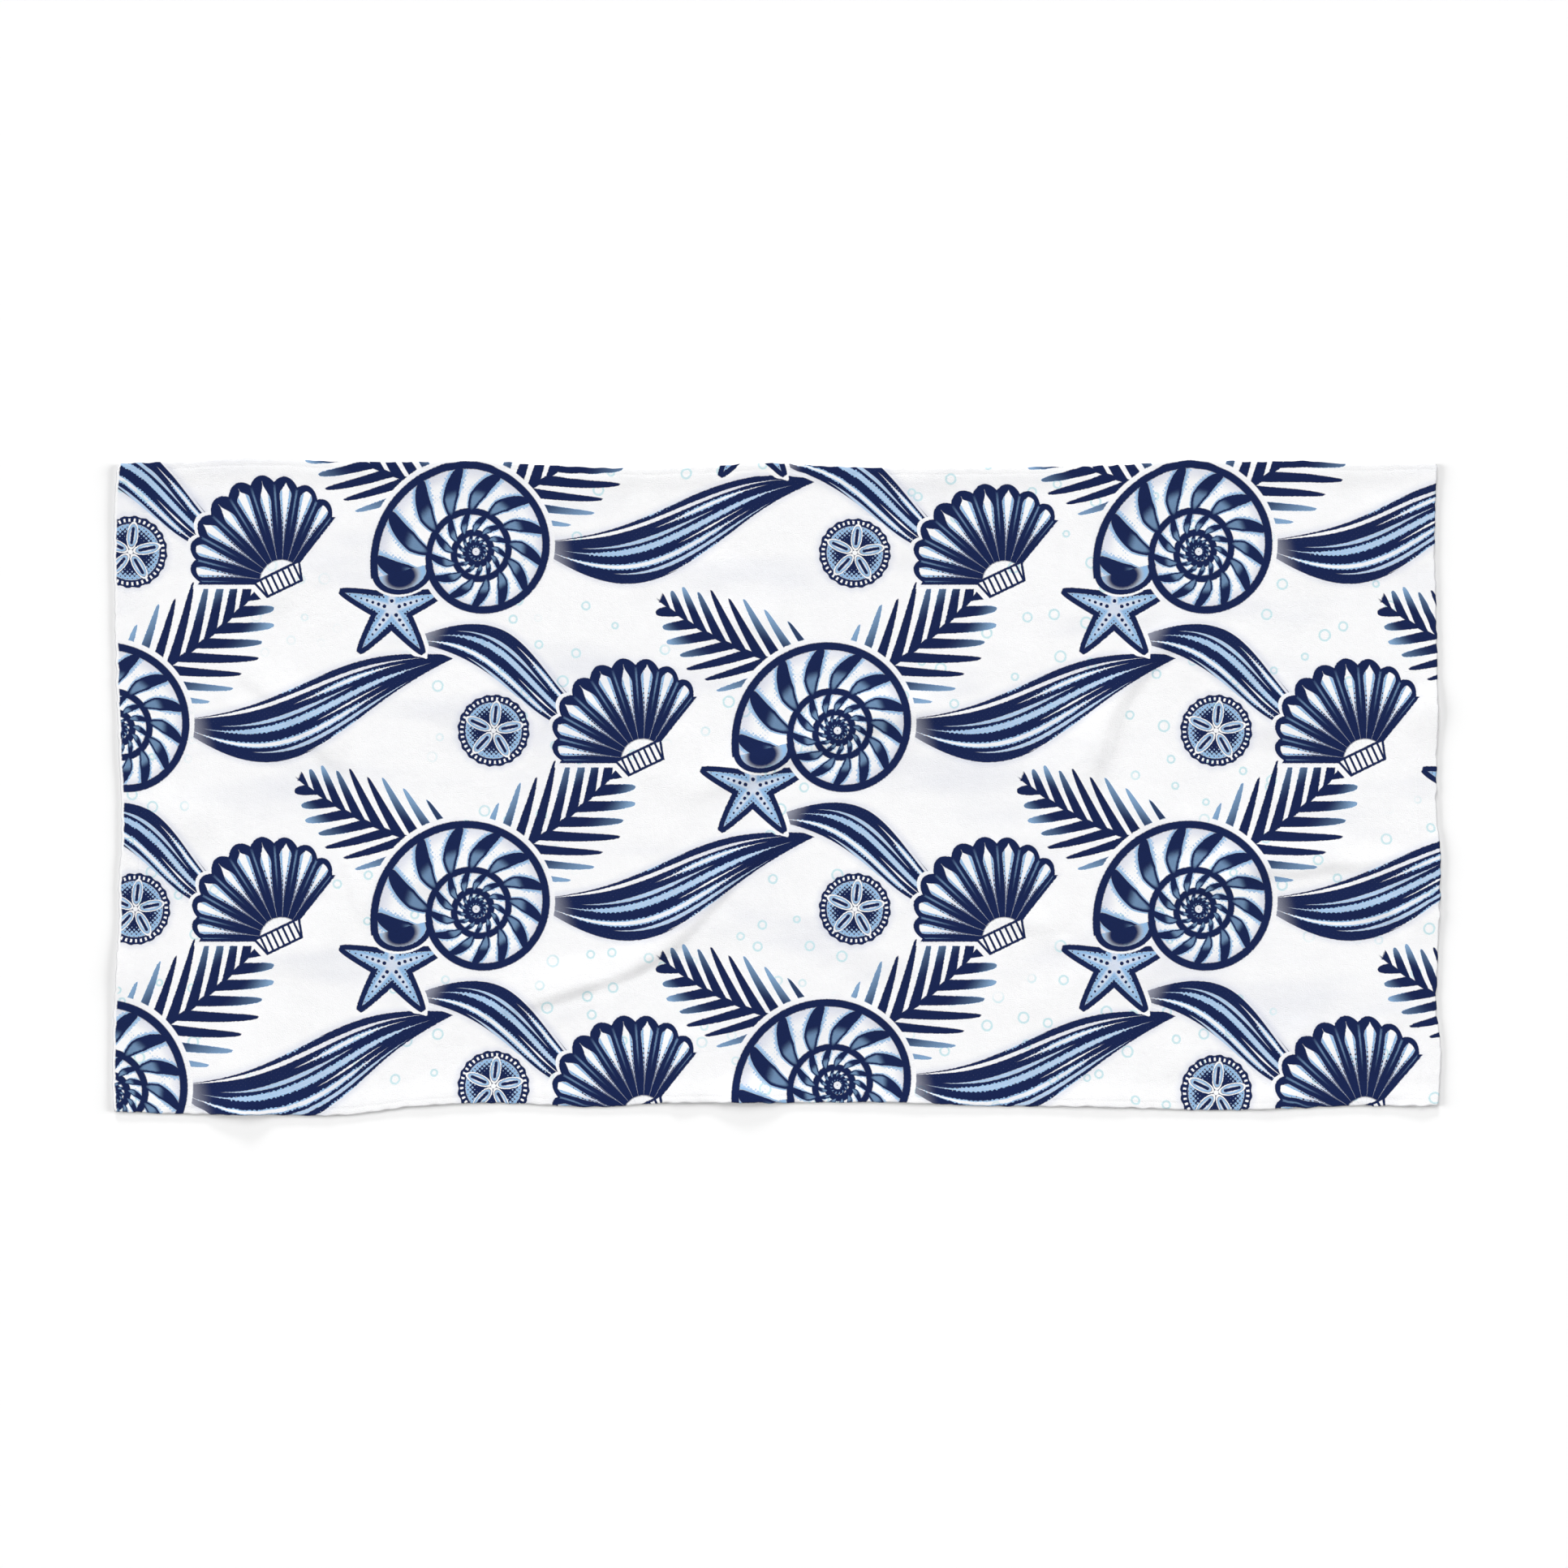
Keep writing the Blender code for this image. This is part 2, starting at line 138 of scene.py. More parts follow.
# Folds as humps to the left of their foot line: places along that line, height of the hump, width of
# its steep flank, width of its gentle back, how sharply the flank meets the flat cloth (0 to 1), and
# the share of the line over which the hump rises at its start and falls at its end
folds = (
    (((-.381, -.279), (-.295, -.265), (-.221, -.242), (-.156, -.219), (-.113, -.190), (-.079, -.154),
      (-.048, -.121), (-.007, -.084), (.087, -.032)),
     .0042, .011, .042, .7, .25, .35),
    (((-.184, -.197), (-.132, -.149), (-.100, -.121), (-.072, -.096), (-.048, -.071)),
     .0016, .014, .025, 0, .4, .4),
    (((-.109, -.032), (-.072, -.018), (-.025, -.003), (.017, .013), (.049, .028), (.087, .044),
      (.133, .059), (.189, .065), (.250, .077)),
     .0046, .018, .045, .3, .3, .35),
    (((-.090, -.001), (-.048, .031), (-.007, .059), (.017, .082)),
     .0010, .012, .020, 0, .4, .4),
    (((.368, -.032), (.377, .008), (.387, .041), (.394, .064), (.408, .094), (.436, .124),
      (.458, .157), (.478, .190)),
     .0050, .013, .035, .6, .3, .3),
    (((.497, .157), (.509, .137), (.520, .115), (.532, .090)),
     .0017, .012, .022, .2, .4, .4),
    (((.495, .094), (.506, .073), (.517, .053)),
     .0011, .010, .016, 0, .4, .4),
    (((-.648, .133), (-.612, .109), (-.575, .077), (-.549, .053), (-.527, .027), (-.500, .006),
      (-.473, -.009)),
     .0034, .015, .050, .5, .35, .35),
    (((-.654, .110), (-.624, .073), (-.596, .041), (-.573, .006)),
     .0020, .013, .030, .4, .4, .4),
    (((-.517, -.062), (-.506, -.093), (-.494, -.124), (-.481, -.160), (-.468, -.178)),
     .0024, .008, .022, .6, .35, .35),
    (((-.610, -.239), (-.620, -.286), (-.625, -.337), (-.629, -.402)),
     .0030, .018, .025, 0, .4, 0),
    (((.588, -.326), (.605, -.307), (.620, -.286), (.631, -.267)),
     .0020, .014, .030, .1, .4, .4),
    (((.208, -.169), (.250, -.173), (.296, -.177), (.329, -.178)),
     .0022, .016, .030, 0, .4, .4),
    (((.357, -.134), (.413, -.141), (.450, -.147), (.497, -.132), (.543, -.117), (.599, -.111),
      (.655, -.104), (.711, -.100), (.766, -.100)),
     .0034, .016, .040, .3, .25, .30),
    (((.599, -.169), (.646, -.163), (.692, -.162), (.730, -.165), (.766, -.169)),
     .0026, .015, .030, .4, .3, .50),
    (((.336, -.160), (.348, -.178), (.359, -.202)),
     .0014, .009, .014, 0, .4, .4),
    (((.308, -.183), (.325, -.197), (.344, -.208)),
     .0012, .010, .016, 0, .4, .4),
    (((.180, -.043), (.194, -.067), (.206, -.087)),
     .0009, .010, .018, 0, .4, .4),
    (((.247, -.115), (.264, -.095), (.284, -.074)),
     .0016, .014, .020, 0, .4, .4),
    (((.222, .010), (.240, .031), (.259, .059), (.273, .078)),
     .0017, .016, .026, .1, .4, .4),
    (((-.592, .302), (-.596, .334), (-.601, .385)),
     .0013, .012, .020, 0, .6, 0),
    (((-.284, .376), (-.266, .339), (-.245, .312)),
     .0020, .008, .020, .4, 0, .5),
    (((.217, .297), (.212, .329), (.208, .381)),
     .0017, .014, .022, 0, .6, 0),
    (((.528, .260), (.531, .297), (.532, .334)),
     .0011, .012, .020, 0, .4, .4),
    (((.625, .381), (.622, .343), (.618, .306)),
     .0028, .016, .030, 0, 0, .6),
    (((-.184, -.346), (-.187, -.309), (-.191, -.281)),
     .0008, .018, .030, 0, .4, .4),
    (((-.421, -.286), (-.379, -.268), (-.333, -.251)),
     .0012, .014, .020, 0, .4, .4),
    (((.430, -.253), (.459, -.274), (.506, -.290)),
     .0011, .018, .026, 0, .4, .4),
    (((.585, -.039), (.610, -.067), (.637, -.099)),
     .0011, .016, .022, 0, .4, .4),
)

# Places where the cloth stands off the floor: middle, reach along X and Y, height
puffs = (
    ((-.622, -.380), (.057, .049), .0076),
    ((-.528, -.388), (.075, .050), .0014),
    ((-.420, -.372), (.070, .050), .0007),
    ((-.111, -.372), (.022, .025), .0014),
    ((-.035, -.375), (.053, .047), .0079),
    ((.250, -.395), (.260, .065), .0019),
    ((.725, -.385), (.075, .045), .0042),
)

# What all folds share, and the soft unevenness of the cloth between them
rumples = {
    "swells": ((.0008, .16), (.0004, .07)),    # height and length of each
    "settle": .0004,          # swells lower than about this lie flat
    "steps": 48,              # places worked out along a fold's foot line
    "lower": .92,             # the pile rounds the folds: a little lower and wider than the cloth's own
    "wider": 1.12,
    "endFlank": .6,           # widths of the flank and the back at a fold's ends, as shares
    "endBack": .5,
    "change": .16,            # how much a fold's height changes along it, as a share, and over what length
    "changeLength": .07,
    "changeSeed": 31,
}


def eased(share):
    # 3s^2 - 2s^3 of the share, held between 0 and 1
    share = np.clip(share, 0, 1)
    return share * share * (3 - 2 * share)


def smoothThrough(table, along):
    # cubic curve through the table's rows, its slope at a row taken from the rows beside it
    places, values = np.array(table).T
    slopes = np.gradient(values, places)
    row = np.clip(np.searchsorted(places, along) - 1, 0, len(table) - 2)
    gap = places[row + 1] - places[row]
    t = np.clip((along - places[row]) / gap, 0, 1)
    return ((1 + 2 * t) * (1 - t) ** 2 * values[row] + t * (1 - t) ** 2 * gap * slopes[row]
            + t * t * (3 - 2 * t) * values[row + 1] - t * t * (1 - t) * gap * slopes[row + 1])


def unevenness(x, y, length, seed, count=14):
    # sum of sine curves in random directions, each about as long as given, about 1 high in all
    chance = np.random.default_rng(seed)
    total = np.zeros_like(x)
    for _ in range(count):
        turn, size = chance.uniform(0, 2 * pi), length * chance.uniform(.7, 1.6)
        start = chance.uniform(0, 2 * pi)
        total += np.sin((x * cos(turn) + y * sin(turn)) * 2 * pi / size + start)
    return total / sqrt(count / 2)


def routeThrough(places):
    # smooth curve through the places, as even steps of the distance along them
    places = np.array(places)
    along = np.concatenate(((0,), np.hypot(*np.diff(places, axis=0).T).cumsum()))
    steps = np.linspace(0, along[-1], rumples["steps"])
    return np.stack([smoothThrough(np.stack((along, part), 1), steps) for part in places.T], 1)


def foldLift(x, y, fold):
    # up the flank as a mix of t(2 - t) and 3t^2 - 2t^3, down the back as (1 - s^2)^2, eased at both ends
    places, height, flank, back, sharp, rising, falling = fold
    height, flank, back = height * rumples["lower"], flank * rumples["wider"], back * rumples["wider"]
    route = routeThrough(places)
    low, high = route.min(0) - flank - back, route.max(0) + flank + back
    close = (x > low[0]) & (x < high[0]) & (y > low[1]) & (y < high[1])
    offX, offY = x[close, None] - route[:, 0], y[close, None] - route[:, 1]
    nearest = np.hypot(offX, offY).argmin(1)
    picked = np.arange(len(nearest))
    offX, offY = offX[picked, nearest], offY[picked, nearest]
    heading = np.gradient(route, axis=0)
    step = np.hypot(*heading.T).mean()
    heading = heading[nearest] / step
    across = heading[:, 0] * offY - heading[:, 1] * offX
    between = np.clip((heading[:, 0] * offX + heading[:, 1] * offY) / step, -.5, .5)
    along = (nearest + between) / (rumples["steps"] - 1)
    ends = (eased(along / rising) if rising else 1) * (eased((1 - along) / falling) if falling else 1)
    endFlank, endBack = rumples["endFlank"], rumples["endBack"]
    flank, back = flank * (endFlank + (1 - endFlank) * ends), back * (endBack + (1 - endBack) * ends)
    climb = np.clip(across / flank, 0, 1)
    climb = sharp * climb * (2 - climb) + (1 - sharp) * eased(climb)
    sink = (1 - np.clip((across - flank) / back, 0, 1) ** 2) ** 2
    lifted = np.zeros_like(x)
    lifted[close] = height * climb * sink * ends
    return lifted


def puffLift(x, y, puff):
    # height x (1 - s^2)^2, where s is the distance from the middle as a share of the reach
    (middleX, middleY), (reachX, reachY), height = puff
    share = ((x - middleX) / reachX) ** 2 + ((y - middleY) / reachY) ** 2
    return height * np.clip(1 - share, 0, 1) ** 2


def lift(x, y):
    # folds, puffs and swells added up, where what is nearly flat stays on the floor: h^2 / (h + least)
    change = rumples["change"] * unevenness(x, y, rumples["changeLength"], rumples["changeSeed"])
    raised = sum(foldLift(x, y, fold) for fold in folds) * (1 + change)
    raised = raised + sum(puffLift(x, y, puff) for puff in puffs)
    for seed, (height, length) in enumerate(rumples["swells"]):
        raised = raised + height * unevenness(x, y, length, seed)
    raised = np.maximum(raised, 0)
    return raised * raised / (raised + rumples["settle"])


def fromEdges(x, y):
    # distances in from the ends and from the long sides
    return towel["length"] / 2 - np.abs(x), towel["width"] / 2 - np.abs(y)


def surfaceHeights(x, y):
    # upper and lower surface: the hems' extra slopes away above and ends in a step below
    fromEnd, fromSide = fromEdges(x, y)
    pastEnd, pastSide = fromEnd - towel["endHem"], fromSide - towel["sideHem"]
    endRise, sideRise = 1 - eased(pastEnd / towel["hemSlope"]), 1 - eased(pastSide / towel["hemSlope"])
    thicker = towel["hemExtra"] * (endRise + sideRise - endRise * sideRise / 2)
    single = eased(pastEnd / towel["hemStep"]) * eased(pastSide / towel["hemStep"])
    offSeam = np.minimum(np.abs(pastEnd + towel["seamInset"]), np.abs(pastSide + towel["seamInset"]))
    dip = towel["seamDip"] * (1 - eased(offSeam / towel["seamWidth"]))
    under = lift(x, y)
    return under + towel["thickness"] + thicker - dip, under + thicker * single + dip


def laidOut(x, y):
    # the flat rectangle's points with rounded corners, and with its edges wandering
    fromEnd, fromSide = fromEdges(x, y)
    radius = towel["cornerRadius"]
    inX, inY = np.maximum(radius - fromEnd, 0), np.maximum(radius - fromSide, 0)
    pull = np.where((inX > 0) & (inY > 0), np.maximum(inX, inY) / np.maximum(np.hypot(inX, inY), 1e-9), 1)
    nearEnd, nearSide = 1 - eased(fromEnd / towel["wanderDepth"]), 1 - eased(fromSide / towel["wanderDepth"])
    outX = nearEnd * np.where(x > 0, smoothThrough(edges["right"], y), smoothThrough(edges["left"], y))
    nearOut = smoothThrough(edges["near"], x) + towel["nearSpread"]
    outY = nearSide * np.where(y > 0, smoothThrough(edges["far"], x), nearOut)
    hemX, hemY = 1 - eased(fromEnd / towel["endHem"]), 1 - eased(fromSide / towel["endHem"])
    outX += towel["pucker"] * hemX * unevenness(x * .2, y, towel["puckerLength"], 11)
    outY += towel["pucker"] * hemY * unevenness(x, y * .2, towel["puckerLength"], 12)
    return x + np.sign(x) * (outX - inX * (1 - pull)), y + np.sign(y) * (outY - inY * (1 - pull))


def boxMiddle():
    # middle of the outline's box without the near hem's spread, which is the frame's origin
    u = np.linspace(-.5, .5, 900)
    flat = np.concatenate((np.stack((u, 0 * u - .5)), np.stack((u, 0 * u + .5)),
                           np.stack((0 * u - .5, u)), np.stack((0 * u + .5, u))), 1)
    x, y = laidOut(flat[0] * towel["length"], flat[1] * towel["width"])
    return (x.min() + x.max()) / 2, (y.min() + towel["nearSpread"] + y.max()) / 2


boxX, boxY = boxMiddle()


def clothPoint(x, y, top):
    # a point of the upper or lower surface, which a half round joins at the edge
    placeX, placeY = laidOut(x, y)
    upper, lower = surfaceHeights(x, y)
    half = (upper - lower) / 2
    inwards = np.clip(np.minimum(*fromEdges(x, y)), 0, half)
    bulge = np.sqrt(np.maximum(half ** 2 - (half - inwards) ** 2, 0))
    return np.stack((placeX - boxX, placeY - boxY, lower + half + np.where(top, bulge, -bulge)), -1)


def linesAcross(size, nearEdge):
    # grid lines: a few close to each edge, and an even number of equal cells between them
    inner = size / 2 - nearEdge[-1]
    cells = 2 * round(inner / towel["cell"])
    edge = size / 2 - np.array(nearEdge[:-1])
    return np.concatenate((-edge, np.linspace(-inner, inner, cells + 1), edge[::-1]))


def newObject(name, points, faces, materials):
    mesh = bpy.data.meshes.new(name)
    mesh.from_pydata(points.tolist(), [], faces)
    for material in materials:
        mesh.materials.append(material)
    mesh.shade_smooth()
    made = bpy.data.objects.new(name, mesh)
    bpy.context.scene.collection.objects.link(made)
    return made


def layPlan(mesh, flat, lastAbove):
    # the flat cloth as UV map, and the second material on the faces after the last one above
    corner = np.zeros(len(mesh.loops), np.int32)
    mesh.loops.foreach_get("vertex_index", corner)
    plan = mesh.uv_layers.new(name="clothPlan")
    places = flat[corner] / (towel["length"], towel["width"]) + .5
    plan.data.foreach_set("uv", places.astype(np.float32).ravel())
    below = np.arange(len(mesh.polygons)) >= lastAbove
    mesh.polygons.foreach_set("material_index", below.astype(np.int32))
    mesh.update()


def clothMesh(name, materials):
    # fine grid above and one of double cells below, which share the points of the outline
    x, y = np.meshgrid(linesAcross(towel["length"], towel["endLines"]),
                       linesAcross(towel["width"], towel["sideLines"]))
    rows, columns = x.shape
    upper = np.arange(rows * columns).reshape(rows, columns)
    inner = np.zeros((rows, columns), bool)
    inner[2:-2:2, 2:-2:2] = True
    lower = upper.copy()
    lower[inner] = rows * columns + np.arange(inner.sum())
    flat = np.concatenate((np.stack((x.ravel(), y.ravel()), 1), np.stack((x[inner], y[inner]), 1)))
    points = clothPoint(flat[:, 0], flat[:, 1], np.arange(len(flat)) < rows * columns)
    above = np.stack((upper[:-1, :-1], upper[:-1, 1:], upper[1:, 1:], upper[1:, :-1]), -1).reshape(-1, 4)
    coarse = lower[::2, ::2]
    # each lower cell as eight places round it, whose middles count only on the outline
    ring = np.full((coarse.shape[0] - 1, coarse.shape[1] - 1, 8), -1)
    ring[..., 0], ring[..., 2] = coarse[:-1, :-1], coarse[1:, :-1]
    ring[..., 4], ring[..., 6] = coarse[1:, 1:], coarse[:-1, 1:]
    ring[:, 0, 1], ring[:, -1, 5] = upper[1::2, 0], upper[1::2, -1]
    ring[-1, :, 3], ring[0, :, 7] = upper[-1, 1::2], upper[0, 1::2]
    below = [[point for point in cell if point >= 0] for cell in ring.reshape(-1, 8).tolist()]
    made = newObject(name, points, above.tolist() + below, materials)
    layPlan(made.data, flat, len(above))
    print(name, len(made.data.polygons), "faces")
    return made


stitches = {
    "pitch": .0031,
    "radius": .00028,
    "sides": 5,
    # place along a stitch, height over the cloth and share of the thread's radius
    "profile": ((-.50, -.0004, .5), (-.25, 0, 1), (.25, 0, 1), (.50, -.0004, .5)),
    "cornerGap": .004,
}


def stitchLine(size, seam, side, alongX):
    # middle and heading of each stitch on a straight line of them, as rows of x, y, headX, headY
    reach = size / 2 - stitches["cornerGap"]
    along = np.arange(-reach, reach, stitches["pitch"])
    across = np.full_like(along, side * seam)
    if alongX:
        return np.stack((along, across, np.ones_like(along), np.zeros_like(along)), 1)
    return np.stack((across, along, np.zeros_like(along), np.ones_like(along)), 1)


def stitchMesh(name, materials):
    # each stitch is a short thread that follows the cloth: rings of points round its bent middle line;
    # the face was printed after it was sewn, so the stitches there carry the print
    endSeam = towel["length"] / 2 - towel["endHem"] + towel["seamInset"]
    sideSeam = towel["width"] / 2 - towel["sideHem"] + towel["seamInset"]
    places = np.concatenate([stitchLine(towel["length"], sideSeam, side, True) for side in (-1, 1)]
                            + [stitchLine(towel["width"], endSeam, side, False) for side in (-1, 1)])
    sides, profile = stitches["sides"], np.array(stitches["profile"])
    x = places[:, 0, None] + places[:, 2, None] * profile[:, 0] * stitches["pitch"]
    y = places[:, 1, None] + places[:, 3, None] * profile[:, 0] * stitches["pitch"]
    turn = np.arange(sides) * 2 * pi / sides
    across = np.stack((-places[:, 3], places[:, 2], 0 * places[:, 0]), 1)[:, None, None, :]
    ringShape = np.cos(turn)[:, None] * across + np.sin(turn)[:, None] * np.array((0, 0, 1.0))
    points, faces = [], []
    for top in (True, False):
        route = clothPoint(x.ravel(), y.ravel(), np.full(x.size, top)).reshape(*x.shape, 3)
        route[..., 2] += (1 if top else -1) * profile[:, 1]
        route[..., 2] = np.maximum(route[..., 2], stitches["radius"])
        ring = route[:, :, None, :] + (profile[:, 2] * stitches["radius"])[None, :, None, None] * ringShape
        number = np.arange(len(places) * len(profile) * sides).reshape(-1, len(profile), sides)
        number += sum(len(block) for block in points)
        points.append(ring.reshape(-1, 3))
        around = np.roll(number, -1, 2)
        quads = np.stack((number[:, :-1], around[:, :-1], around[:, 1:], number[:, 1:]), -1).reshape(-1, 4)
        faces += quads.tolist() + number[:, 0, ::-1].tolist() + number[:, -1].tolist()
    made = newObject(name, np.concatenate(points), faces, materials)
    flat = np.stack((x, y), -1).reshape(-1, 2).repeat(sides, 0)
    layPlan(made.data, np.concatenate((flat, flat)), len(faces) // 2)
    print(name, len(places) * 2, "stitches")
    return made


class Wire:
    # a socket in a material: arithmetic on it adds Math nodes
    tree = None

    def __init__(self, socket):
        self.socket = socket

    @classmethod
    def node(cls, kind, settings=None, inputs=None, output=0):
        made = cls.tree.nodes.new("ShaderNode" + kind)
        for name, value in (settings or {}).items():
            setattr(made, name, value)
        for name, value in (inputs or {}).items():
            if isinstance(value, Wire):
                cls.tree.links.new(value.socket, made.inputs[name])
            else:
                made.inputs[name].default_value = value
        return cls(made.outputs[output])

    def __add__(self, other):
        return maths("ADD", self, other)

    def __sub__(self, other):
        return maths("SUBTRACT", self, other)

    def __rsub__(self, other):
        return maths("SUBTRACT", other, self)

    def __mul__(self, other):
        return maths("MULTIPLY", self, other)

    def __truediv__(self, other):
        return maths("DIVIDE", self, other)

    def __neg__(self):
        return maths("MULTIPLY", self, -1)

    __radd__, __rmul__ = __add__, __mul__


def maths(operation, *values):
    return Wire.node("Math", {"operation": operation}, dict(enumerate(values)))


def sine(x): return maths("SINE", x)
def cosine(x): return maths("COSINE", x)
def root(x): return maths("SQRT", x)
def logarithm(x): return maths("LOGARITHM", x, e)
def magnitude(x): return maths("ABSOLUTE", x)
def floored(x): return maths("FLOOR", x)
def fraction(x): return maths("FRACT", x)
def angleOf(y, x): return maths("ARCTAN2", y, x)
def smaller(a, b): return maths("MINIMUM", a, b)
def larger(a, b): return maths("MAXIMUM", a, b)
def power(x, exponent): return maths("POWER", x, exponent)
def wrapped(x, half): return maths("WRAP", x, half, -half)


def rise(x, low, high):
    # smooth step from 0 at low to 1 at high, falling where low is the larger
    return Wire.node("MapRange", {"interpolation_type": "SMOOTHSTEP"}, {0: x, 1: low, 2: high})


def flatVector(u, v):
    return Wire.node("CombineXYZ", {}, {0: u, 1: v})


def noiseAt(u, v, scale, detail=1, seed=0):
    spot = Wire.node("CombineXYZ", {}, {0: u, 1: v, 2: seed * 3.7})
    inputs = {"Vector": spot, "Scale": scale, "Detail": detail}
    return Wire.node("TexNoise", {"noise_dimensions": "3D"}, inputs)


def cells(u, v, scale, seed=0):
    # distance to the nearest of the scattered points, in metres, and a random number for it
    spots = Wire.node("TexVoronoi", {"voronoi_dimensions": "2D"},
                      {"Vector": flatVector(u + seed * .37, v - seed * .29), "Scale": scale})
    colour = Wire(spots.socket.node.outputs["Color"])
    return spots / scale, Wire.node("SeparateColor", {}, {0: colour})


def mixed(factor, first, second):
    return Wire.node("Mix", {"data_type": "RGBA"}, {0: factor, 6: first, 7: second}, 2)


def darkened(factor, colour, shade):
    settings = {"data_type": "RGBA", "blend_type": "MULTIPLY"}
    return Wire.node("Mix", settings, {0: factor, 6: colour, 7: shade}, 2)


# The printed pattern: motifs that repeat in a half drop, each over those before it
printing = {
    "repeat": (.415, .410),
    "dotPitch": .0038,
    "bleed": .0005,           # the ink's soft edge in the pile
    "wobble": .0003,          # how far the pile breaks up a printed edge
    # distance of the print's end in from the left, right, near and far edges
    "margins": (.0038, -.0012, .0004, -.004),
    "marginFade": .0008,
    # place, turn, length, width, bend and number of leaflets
    "fronds": (
        ((.075, .130, .62), .270, .135, 1.2, 10),
        ((.310, .335, 2.75), .225, .115, -1.4, 9),
    ),
    # place, turn, length, width, bend, sway and number of streaks
    "ribbons": (
        ((.235, .043, .22), .350, .074, .9, .016, 4),
        ((.055, .290, -.45), .280, .052, -1.3, -.014, 3),
    ),
    # place, turn and radius
    "star": ((.318, .160, .3), .063),
    "medallion": ((.020, .225, .2), .041),
    "fan": ((.170, .235, .45), .117),
    "spiral": ((.000, .020, .25), .119),
}


def squared(x): return x * x


def placed(u, v, spot):
    # a motif's own coordinates, in a half drop: each column of motifs is half a repeat higher
    centreU, centreV, turn = spot
    repeatU, repeatV = printing["repeat"]
    x = wrapped(u - centreU, repeatU / 2)
    column = (u - centreU - x) / repeatU
    y = wrapped(v - centreV - column * (repeatV / 2), repeatV / 2)
    return x * cos(turn) + y * sin(turn), y * cos(turn) - x * sin(turn)


def laid(inks, alpha, navy, blue, lilac):
    # a motif's inks over what is there, which its shape with the white line round it clears
    keep = 1 - alpha
    return inks[0] * keep + navy, inks[1] * keep + blue, inks[2] * keep + lilac


def dotField(u, v):
    # distance, in pitches, to the nearest point of a lattice of dots that is turned by 45 degrees
    pitch = printing["dotPitch"] * sqrt(2)
    a, b = wrapped((u + v) / pitch, .5), wrapped((u - v) / pitch, .5)
    return root(squared(a) + squared(b))


def dotted(amount, dot):
    # dots that grow with the amount, from 0 to 1
    return rise(amount * .68 - dot, -.06, .06)


def ink(edge):
    # 1 inside an edge and 0 outside it, over the width that ink bleeds into the pile
    return rise(edge, -printing["bleed"], printing["bleed"])


def glow(edge):
    # sprayed shade that fades outwards from an edge
    return squared(rise(edge, -.012, .001)) * .27


def ribbon(inks, u, v, dot, spot, length, width, bend, sway, streaks):
    # tapered brush stroke along y = bend x^2 + sway sin(pi t), with light streaks and dots along it
    x, y = placed(u, v, spot)
    t = x / (length / 2)
    y = y - bend * squared(x) - sway * sine(t * pi)
    within = larger(1 - squared(t), 0)
    half = width / 2 * power(within, 1.15) * (1 - .35 * t)
    edge = half - magnitude(y) - .0008 * (1 - rise(within, 0, .05))
    tip = rise(within, 0, .01)
    body = ink(edge) * tip
    lane = y / larger(half, 1e-4) * streaks + t * .9
    number = floored(lane + .5)
    off = magnitude(lane - number)
    reach = .60 + .30 * sine(number * 2.4 + 1.0)
    slit = .23 * (1 - rise(magnitude(t - .25 * sine(number * 4.1)), reach - .5, reach))
    cut = rise(slit - off, -.05, .05) * rise(slit, .01, .03)
    bluish = rise(sine(number * 1.7 + .6), .2, .4)
    spray = rise(t * sine(number * 2.3 + .5), -.7, .6)
    dots = dotted(rise(off - slit, .34, .02) * rise(slit, .02, .20), dot)
    dots = dots * rise(sine(number * 2.9 + 1.2), -.1, .1)
    faded = rise(t, -.70, -.98) * .65
    navy = body * (1 - cut) * (1 - dots) * (1 - faded)
    blue = body * larger(cut * bluish * (1 - spray * .5), dots * (1 - cut))
    lilac = larger(body * larger(cut * spray * .35, faded), glow(edge) * rise(within, 0, .4) * (1 - body))
    return laid(inks, ink(edge + .0048) * tip, navy, blue, lilac * (1 - blue))


def frond(inks, u, v, dot, spot, length, width, bend, leaflets):
    # slanted leaflets to both sides of a stem along y = bend x^2, within a sine-shaped leaf
    x, y = placed(u, v, spot)
    t = x / length + .5
    y = y - bend * (squared(x) - length * length / 4)
    side = magnitude(y)
    envelope = width / 2 * power(sine(smaller(larger(t, 0), 1) * pi), .6)
    slanted = t * leaflets - side * (leaflets * 1.25 / length) + rise(y, -.0001, .0001) * .5
    number = floored(slanted)
    off = magnitude(slanted - number - .5)
    share = side / larger(envelope * (.93 + .09 * sine(number * 3.3)), .002)
    fat = .37 * power(larger(1 - share, 0), .45)
    inside = rise(t, .02, .03) * (1 - rise(t, .97, .98)) * (1 - rise(share, .97, 1))
    leaf = rise(fat - off, -.03, .03) * inside
    stem = ink(.0030 * (1.25 - t) - side) * rise(t, -.10, -.09) * (1 - rise(t, .97, 1))
    halo = rise(fat + .30 - off, -.03, .03) * inside
    bluish = rise(sine(number * 2.1 + .3), .72, .77)
    dots = dotted(rise(share, 1, .1) * .9, dot) * bluish * leaf
    navy = larger(larger(leaf * (1 - bluish), stem), dots)
    faded = rise(share, .3, 1) * (1 - bluish) * rise(sine(number * 1.3), -.2, .8) * .8 * leaf
    blue = larger(leaf * bluish * (1 - navy), rise(faded, 0, .02))
    return laid(inks, larger(halo, stem), navy * (1 - faded), blue, 0)


